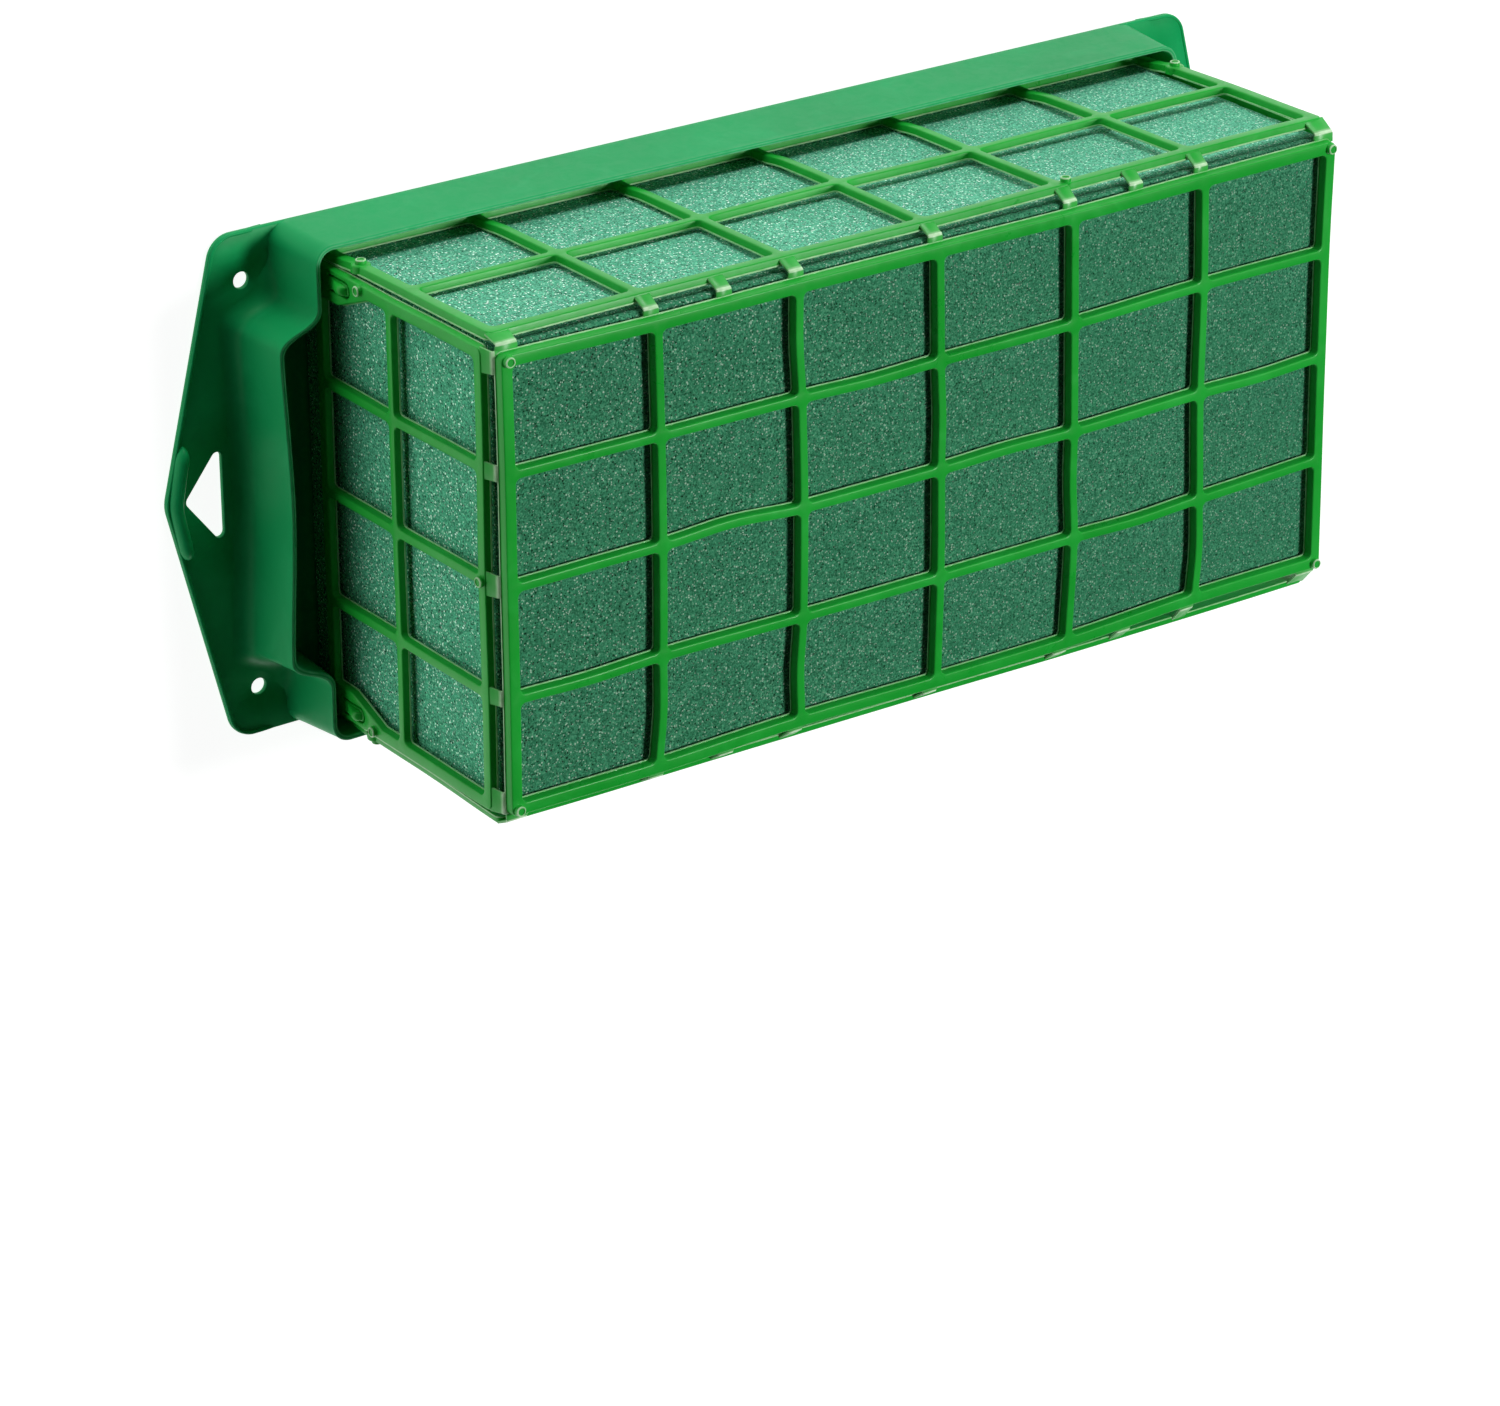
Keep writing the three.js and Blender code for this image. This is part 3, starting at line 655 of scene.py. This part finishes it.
panels = {}
for side, (face, maker) in SIDES.items():
    flat_place, warp = maker(face), WARPS[side]

    def place(u, v, n, flat_place=flat_place, warp=warp):
        return flat_place(*warp(u, v, n))

    shell = Shell()
    if side in ("front", "back"):
        vs = [SIDE_LOW, PANEL_MID, PANEL_HIGH]
        moulded_grid(shell, cols, vs, plain_windows(cols, vs), [], place, PANEL_D)
        for u in (-COL_HALF, COL_HALF):
            boss(shell, place, u, 27.0, 2.3)
            stud(shell, place, u, 27.0)
        if side == "front":
            stud(shell, place, -41.5, PANEL_HIGH)
        else:
            nick(shell, place, 20.0, PANEL_HIGH)
    else:
        vs = [PANEL_LOW, END_MID, PANEL_HIGH]
        windows = plain_windows(rows, vs, skip=((0, 0), (3, 0)))
        slots = []
        for s in (-1, 1):
            window, slot, m = gusset_windows(s)
            windows.append(window)
            slots.append(slot)
        moulded_grid(shell, rows, vs, windows, slots, place, PANEL_D)
        for s in (-1, 1):
            catch(shell, place, s * (ROW_HALF - 1.7))
            stud(shell, place, s * (ROW_HALF + 0.1), 31.6)
        stud(shell, place, 0.0, PANEL_HIGH)
    ob = shell.build(f"{side}_panel_moulding", CAGE)
    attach(ob, f"{side}_flap")
    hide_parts(f"cage_{side}_panel")
    panels[side] = ob

# ---- the living-hinge straps ----------------------------------------------------------------------------
pitch = 2 * COL_HALF / 6
LONG = [(-COL_HALF + 1.3, STRAP_WIDE), (-2 * pitch, STRAP_W), (-1.5 * pitch, STRAP_W), (-pitch, STRAP_W), (0.0, STRAP_W),
        (pitch, STRAP_W), (1.5 * pitch, STRAP_W), (2 * pitch, STRAP_W), (COL_HALF - 1.3, STRAP_WIDE)]
SHORT = [(-ROW_HALF + 1.3, STRAP_WIDE), (-ROW_HALF / 2, STRAP_W), (0.0, STRAP_WIDE), (ROW_HALF / 2, STRAP_W), (ROW_HALF - 1.3, STRAP_WIDE)]


def strap(shell, side, at, width, seed):
    """A thin bent strip from inside the grid's edge to inside the panel's top bar."""
    face, maker = SIDES[side]
    flat_place, warp = maker(face), WARPS[side]
    edge = (ROW_HALF if side in ("front", "back") else COL_HALF) + FRAME_W / 2
    # the grid's edge in this side's own frame
    flat = flat_place(at, 0, 0)
    gu, gv = (flat[0], math.copysign(edge, flat[1])) if side in ("front", "back") else (math.copysign(edge, flat[0]), flat[1])
    wu, wv, wn = grid_warp(gu, gv, 0.0)
    start_out = abs(wv) if side in ("front", "back") else abs(wu)
    pu, pv, pn = warp(at, PANEL_HIGH + FRAME_W / 2, 0.0)
    end_out = face + pn
    # it leaves the grid near the rear of its edge, runs outwards, and turns down to the panel
    top = TOP_Z + wn - STRAP_DROP
    low = pv - 0.6
    r, h = 0.7, STRAP_T / 2
    x0 = start_out - 0.6
    knee = min(start_out + (2.35 if side in ("front", "back") else 0.95), end_out - 0.15)
    foot = end_out - 0.15
    # the bend is whitened, partly as stressed plastic and partly as a painted highlight
    middle, strap_whitening_and_highlight = [(x0, top - h), (knee - r - 0.1, top - h)], [0.0, 0.1]
    for s in range(0, 8):
        a = math.pi / 2 * s / 7
        middle.append((knee - r + (r - h) * math.sin(a), top - r + (r - h) * math.cos(a)))
        strap_whitening_and_highlight.append(0.9 if 1 <= s <= 5 else 0.45)
    for t, whitening_and_highlight in ((0.15, 0.05), (0.5, 0.0), (1.0, 0.0)):
        middle.append((knee - h + (foot - knee) * t, top - r + (low - top + r) * t))
        strap_whitening_and_highlight.append(whitening_and_highlight)
    rings = []
    n = len(middle)
    for i, (o, z) in enumerate(middle):
        a, b = middle[max(i - 1, 0)], middle[min(i + 1, n - 1)]
        d = Vector((b[0] - a[0], b[1] - a[1])).normalized()
        nx, nz = -d.y, d.x
        # the strap thins at its bend and widens a little where it joins
        bend = math.exp(-((i - 5) / 2.2) ** 2)
        t = h * (1 - 0.12 * bend)
        w = width / 2 * (1 + 0.10 * smooth((i - n + 3) / 2) + 0.08 * smooth((2 - i) / 2))
        c = 0.12
        ring = []
        for su, st in ((-w + c, -t), (w - c, -t), (w, -t + c), (w, t - c), (w - c, t), (-w + c, t), (-w, t - c), (-w, -t + c)):
            px, py, _ = flat_place(at + su, z, o + nx * st - face)
            ring.append((px, py, z + nz * st))
        first = len(shell.verts)
        rings.append(shell.ring(ring, strap_whitening_and_highlight[i]))
        # painted highlights along the strap's rounded edges
        for q in (2, 3, 6, 7):
            shell.whitening_and_highlight[first + q] = max(shell.whitening_and_highlight[first + q], 0.3 if i > 1 else 0.1)
    for a, b in zip(rings, rings[1:]):
        shell.bridge(a, b)
    for ring in (rings[0], rings[-1]):
        shell.faces.append(tuple(ring))
    return start_out, end_out, top, low


for side, places in (("front", LONG), ("back", LONG), ("right", SHORT), ("left", SHORT)):
    shell = Shell()
    outs = []
    for i, (at, width) in enumerate(places):
        outs.append(strap(shell, side, at, width, i))
    ob = shell.build(f"{side}_hinge_straps", CAGE, sharp=50)
    flat_place = SIDES[side][1](SIDES[side][0])
    s0 = sum(o[0] for o in outs) / len(outs)
    s1 = sum(o[1] for o in outs) / len(outs)
    a = flat_place(0, TOP_Z - STRAP_DROP - 0.3, s0 + 0.1 - SIDES[side][0])
    b = flat_place(0, PANEL_HIGH + 1.6, s1 - 0.2 - SIDES[side][0])
    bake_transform(ob)
    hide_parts(*[f"{side}_strap_{i + 1}" for i in range(len(places))])

# ---- the foam block ------------------------------------------------------------------------------------


def foam_block():
    lo, hi = Vector(FOAM_LOW), Vector(FOAM_HIGH)
    centre, half = (lo + hi) / 2, (hi - lo) / 2
    edge = [0.0, 0.25, 0.55, 0.9, 1.35, 2.0]

    def ticks(h, step):
        inner = h - edge[-1]
        n = max(int(round(2 * inner / step)), 1)
        line = [-h + e for e in edge] + [-inner + 2 * inner * i / n for i in range(1, n)] + [h - e for e in reversed(edge)]
        return line
    axes = [ticks(half.x, 2.6), ticks(half.y, 2.6), ticks(half.z, 2.6)]
    ids, verts, faces = {}, [], []

    def vertex(key):
        if key not in ids:
            ids[key] = len(verts)
            verts.append(Vector((axes[0][key[0]], axes[1][key[1]], axes[2][key[2]])))
        return ids[key]
    top = [len(a) - 1 for a in axes]
    for axis in range(3):
        b, c = (axis + 1) % 3, (axis + 2) % 3
        for end in (0, top[axis]):
            for i in range(top[b]):
                for j in range(top[c]):
                    quad = []
                    for di, dj in ((0, 0), (1, 0), (1, 1), (0, 1)):
                        key = [0, 0, 0]
                        key[axis], key[b], key[c] = end, i + di, j + dj
                        quad.append(vertex(tuple(key)))
                    faces.append(tuple(quad if end else quad[::-1]))
    out = []
    for p in verts:
        crumble = 0.5 + 0.5 * noise.noise(p * 0.09 + Vector((4.2, 1.7, 9.3)))
        fine = noise.noise(p * 0.55 + Vector((1.1, 8.7, 2.9)))
        r = 0.75 + 1.0 * crumble + 0.35 * fine
        inner = Vector([min(max(p[k], -half[k] + r), half[k] - r) for k in range(3)])
        away = p - inner
        q = inner + away.normalized() * r if away.length > 1e-6 and sum(1 for k in range(3) if abs(away[k]) > 1e-6) > 1 else p.copy()
        nrm = Vector([1 if p[k] >= half[k] - 1e-6 else (-1 if p[k] <= -half[k] + 1e-6 else 0) for k in range(3)])
        if nrm.length > 0:
            nrm.normalize()
            dent = 0.10 + 0.10 * noise.noise(p * 0.035) + 0.09 * noise.noise(p * 0.22) + 0.07 * noise.noise(p * 0.8)
            q -= nrm * max(dent, 0.0)
        out.append(tuple(q + centre))
    shell = Shell()
    shell.verts, shell.faces, shell.whitening_and_highlight = out, faces, []
    ob = shell.build("foam_block", FOAM, sharp=180)
    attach(ob, "foam")
    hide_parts("foam_brick")


foam_block()

# ---- the tray ---------------------------------------------------------------------------------------------


def bezier(p0, p1, p2, p3, n):
    out = []
    for i in range(1, n + 1):
        t = i / n
        a, b, c, d = (1 - t) ** 3, 3 * t * (1 - t) ** 2, 3 * t * t * (1 - t), t ** 3
        out.append((a * p0[0] + b * p1[0] + c * p2[0] + d * p3[0], a * p0[1] + b * p1[1] + c * p2[1] + d * p3[1]))
    return out


def wall_line(inset, dx=0.0, dy=0.0):
    """The pan's wall seen from above, moved in by an inset; the wells swell out of the end walls."""
    x, y, r, w = RIM_X - inset, RIM_Y - inset, max(RIM_R - inset, 0.8), WELL_X - inset
    y0, y1, k, m = WELL_Y0 - 0.7 * inset, WELL_Y1 - 0.7 * inset, WELL_SWING, WELL_X - inset - WELL_BOW
    half = [(0.0, -y)]
    n = 34
    half += [((x - r) * i / n, -y) for i in range(1, n + 1)]
    half += [(x - r + r * math.sin(math.pi / 2 * i / 8), -y + r - r * math.cos(math.pi / 2 * i / 8)) for i in range(1, 9)]
    half += [(x, -y + r + (-y0 + y - r) * i / 4) for i in range(1, 5)]
    half += bezier((x, -y0), (x, -y0 + k), (w, -y1 - k), (w, -y1), 16)
    half += bezier((w, -y1), (w, -y1 + 8), (m, -12), (m, 0.0), 14)
    right_side = half + [(px, -py) for px, py in reversed(half[:-1])]
    loop = right_side + [(-px, -py) for px, py in right_side[1:-1]]
    return [(px * (1 + dx / RIM_X), py * (1 + dy / RIM_Y)) for px, py in loop]


def end_share(px, py):
    """How wide the foot fillet is: full along a well, small at the corners, none along a side."""
    return smooth((abs(px) - 117.5) / 5.0) * (0.05 + 0.95 * smooth((55.0 - abs(py)) / 9.0))


def tray_wave(x, y, z):
    share = smooth(z / RIM_Z) * smooth((abs(y) - 40) / 15)
    dy = share * (0.30 * math.sin(x * 0.021 + 0.6) + 0.12 * noise.noise(Vector((x * 0.03, z * 0.05, 5.5)))) * (1 if abs(x) < 121 else 0.4)
    lip = smooth((z - 12) / 7.5)
    dz = 0.20 * lip * noise.noise(Vector((x * 0.02, y * 0.03, 1.3)))
    return (x, y + math.copysign(dy, y) if abs(y) > 1e-6 else y, z + dz)


def tray():
    shell = Shell()
    h = RIM_Z
    rings = []

    def level(z, inset, dx, dy, spread=None, whitening_and_highlight=0.0):
        loop = wall_line(inset, dx, dy)
        if spread:
            wide = wall_line(inset - spread, dx, dy)
            loop = [(a + (c - a) * end_share(a, b), b + (d - b) * end_share(a, b)) for (a, b), (c, d) in zip(loop, wide)]
            loop = [(a, min(max(b, -61.9), 61.9) if abs(a) > 117.5 and z < FLOOR + 1 else b) for a, b in loop]
        return loop, shell.ring([(a, b, z) for a, b in loop], whitening_and_highlight)

    def out(z):
        t = 1 - z / h
        return FOOT_X * t, FOOT_Y * t
    # outer wall, from the plate up to the rim
    bottom_loop, bottom = level(0.0, 0.5, *out(0.0))
    rings.append(bottom)
    rings.append(level(0.05, 0.12, *out(0.0))[1])
    rings.append(level(0.35, 0.0, *out(0.3))[1])
    fillet = 4.2
    for s in range(0, 11):
        a = math.pi / 2 * s / 10
        z = FLOOR - 0.04 + fillet * (1 - math.cos(a))
        spread = fillet * (1 - math.sin(a))
        rings.append(level(z, 0.0, *out(z), spread)[1])
    for z in (7.5, 9.5, 12.0, 14.5, 17.0, 18.4):
        rings.append(level(z, 0.0, *out(z))[1])
    # a slightly turned lip, then over the rim and down the inner wall
    rings.append(level(18.75, -0.10, 0.0, 0.0)[1])
    rings.append(level(19.15, -0.14, 0.0, 0.0)[1])
    rings.append(level(19.38, -0.06, 0.0, 0.0)[1])
    # painted highlights along the rim's inner and outer edges
    rings.append(level(19.50, 0.16, 0.0, 0.0, whitening_and_highlight=0.30)[1])
    rings.append(level(19.52, 0.50, 0.0, 0.0)[1])
    rings.append(level(19.46, 0.86, 0.0, 0.0, whitening_and_highlight=0.55)[1])
    rings.append(level(19.28, 1.04, 0.0, 0.0, whitening_and_highlight=0.30)[1])
    rings.append(level(18.8, 1.10, 0.0, 0.0)[1])
    for z in (16.0, 12.0, 8.0, 5.0, 3.6):
        t = 1 - (z - FLOOR) / (h - FLOOR)
        rings.append(level(z, 1.10, -0.8 * t, -0.6 * t)[1])
    for s in range(1, 7):
        a = math.pi / 2 * s / 6
        inset = 1.10 + 1.8 * (1 - math.cos(a))
        loop, ring = level(FLOOR + 1.8 * (1 - math.sin(a)), inset, -0.8, -0.6)
        rings.append(ring)
    for a, b in zip(rings, rings[1:]):
        shell.bridge(a, b)
    shell.fill([loop], [rings[-1]])
    shell.fill([bottom_loop], [bottom])

    # each hanging flange: a plate with a turned edge, two screw holes and a triangular hole
    def edge_line(inset):
        y = FLANGE_Y - inset
        return [(117.0, -y), (CORNER_X - inset, -y), (APEX_X - inset, 0.0), (CORNER_X - inset, y), (117.0, y)]

    for sgn in (1, -1):
        def put(u, v, z, sgn=sgn):
            return (sgn * u, sgn * v, z)
        flats, ids = [], []
        plate = [(0.0, 0.55), (0.06, 0.22), (0.25, 0.04), (0.5, 0.0), (1.15, 0.0), (1.38, 0.10), (1.5, 0.35)]
        # the plate's inner edge runs inside the pan's wall
        inner = [p for p in wall_line(0.7, FOOT_X, FOOT_Y) if p[0] > 122.0][::-1]
        keep = [i for i, p in enumerate(rounded(edge_line(0.0), EDGE_R, 0.0, 10, 3.0)) if p[0] > 121.0]
        for z, inset in plate:
            outline = rounded(edge_line(0.0), EDGE_R, inset, 10, 3.0)
            outline = [outline[i] for i in keep] + inner
            hang = rounded([(HANG_BASE, -HANG_HALF), (HANG_APEX + 0.7, 0.0), (HANG_BASE, HANG_HALF)], [1.3, 1.6, 1.3], -inset * 0.6, 7, 1.5)
            holes = []
            for s in (-1, 1):
                r = SCREW_R + inset * 0.6
                holes.append([(SCREW_X + r * math.cos(2 * math.pi * q / 28), s * SCREW_Y + r * math.sin(2 * math.pi * q / 28)) for q in range(28)])
            loops = [outline, hang] + holes
            flats.append(loops)
            ids.append([shell.ring([put(u, v, z) for u, v in loop]) for loop in loops])
        for a, b in zip(ids, ids[1:]):
            for x, y in zip(a, b):
                shell.bridge(x, y)
        for which in (0, -1):
            shell.fill(flats[which], ids[which])
        # the turned edge: a low half-round bead along the outline
        path = rounded(edge_line(0.45), [0.3, 6.0, 8.8, 6.0, 0.3], 0.0, 14, 2.5)
        path = [p for p in path if p[0] > 126.5]
        # the line runs from -Y to +Y, and its ends sink into the plate
        n = len(path)
        pts, frames_ = [], []
        for i, (u, v) in enumerate(path):
            a, b = path[max(i - 1, 0)], path[min(i + 1, n - 1)]
            d = Vector((b[0] - a[0], b[1] - a[1], 0)).normalized()
            side = Vector((d.y, -d.x, 0))
            ends = smooth(min(i, n - 1 - i) / 3)
            pts.append((u, v, 1.0 - 0.6 * (1 - ends)))
            frames_.append((side, Vector((0, 0, 1))))
        profile = [(0.42, -0.5), (0.42, 0.45), (0.37, 0.66), (0.22, 0.80), (0.02, 0.85), (-0.2, 0.80), (-0.37, 0.62), (-0.44, 0.40), (-0.44, -0.5)]
        pts3 = [put(*p) for p in pts]
        fr3 = [((sgn * s.x, sgn * s.y, 0), (0, 0, 1)) for s, _ in frames_]
        shell.sweep(pts3, fr3, profile)
        # the half-round rib beyond the hanging hole
        bend = []
        for i in range(33):
            t = i / 32 * 2 - 1
            v = 14.0 * t
            u = 153.9 - 2.7 * (math.sqrt(t * t + 0.018) - math.sqrt(0.018)) / (math.sqrt(1.018) - math.sqrt(0.018))
            bend.append((u, v))
        pts, frames_, sizes = [], [], []
        for i, (u, v) in enumerate(bend):
            a, b = bend[max(i - 1, 0)], bend[min(i + 1, 32)]
            d = Vector((b[0] - a[0], b[1] - a[1], 0)).normalized()
            pts.append(put(u, v, 1.2))
            s = Vector((d.y, -d.x, 0))
            end = min(i, 32 - i) / 4
            sizes.append(math.sqrt(max(1 - (1 - min(end, 1.0)) ** 2, 0.02)))
            frames_.append(((sgn * s.x, sgn * s.y, 0), (0, 0, 1)))
        profile = [(1.6, -0.8)] + [(1.6 * math.cos(math.pi * q / 12), 0.25 + 2.75 * math.sin(math.pi * q / 12) ** 0.8) for q in range(13)] + [(-1.6, -0.8)]
        shell.sweep(pts, frames_, profile, sizes=sizes)
    ob = shell.build("tray_moulding", TRAY, sharp=42, warp=tray_wave)
    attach(ob, "tray")
    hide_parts("tray_pan", "hanging_flange_right", "hanging_flange_left")


tray()

# ---- studio ---------------------------------------------------------------------------------------------------
scene = bpy.context.scene
scene.view_settings.view_transform = "Standard"
scene.view_settings.look = "None"

floor_mesh = bpy.data.meshes.new("floor")
floor_mesh.from_pydata([(-8, -8, -0.0003), (8, -8, -0.0003), (8, 8, -0.0003), (-8, 8, -0.0003)], [], [(0, 1, 2, 3)])
floor = bpy.data.objects.new("floor", floor_mesh)
scene.collection.objects.link(floor)
m = Nodes("floor")
m.put(m.shader, "Base Color", m.mix(m.level(m.noise(3.0), 0.4, 0.6, 0.0, 0.2), (0.30, 0.30, 0.30, 1), (0.28, 0.29, 0.29, 1)))
m.shader.inputs["Roughness"].default_value = 0.9
m.shader.inputs["Specular IOR Level"].default_value = 0.0
m.shader.inputs["Emission Color"].default_value = (1, 1, 1, 1)
m.shader.inputs["Emission Strength"].default_value = 0.93
floor_mesh.materials.append(m.mat)

world = bpy.data.worlds.new("studio")
scene.world = world
world.use_nodes = True
tree = world.node_tree
coord = tree.nodes.new("ShaderNodeTexCoord")
split = tree.nodes.new("ShaderNodeSeparateXYZ")
tree.links.new(coord.outputs["Generated"], split.inputs["Vector"])
band = tree.nodes.new("ShaderNodeMapRange")
tree.links.new(split.outputs["Z"], band.inputs["Value"])
band.inputs["From Min"].default_value, band.inputs["From Max"].default_value = 0.09, 0.22
band.inputs["To Min"].default_value, band.inputs["To Max"].default_value = 0.82, 0.035
band.interpolation_type = "SMOOTHSTEP"
back = tree.nodes["Background"]
tree.links.new(band.outputs["Result"], back.inputs["Strength"])
back.inputs["Color"].default_value = (1, 1, 1, 1)


def soft_light(name, direction, distance, size, power, colour=(1, 1, 1)):
    light = bpy.data.lights.new(name, "AREA")
    light.shape = "DISK"
    light.size = size
    light.energy = power
    light.color = colour
    ob = bpy.data.objects.new(name, light)
    d = Vector(direction).normalized()
    ob.location = Vector((0, 0, 0.04)) + d * distance
    ob.rotation_euler = d.to_track_quat("Z", "Y").to_euler()
    scene.collection.objects.link(ob)
    return ob


soft_light("side", (-0.12, -0.99, 0.08), 1.8, 0.50, 10.5)
soft_light("upper", (-0.38, -0.12, 0.92), 1.8, 0.34, 24.0)
soft_light("rear", (-0.15, 0.98, 0.12), 1.8, 0.70, 6.0)
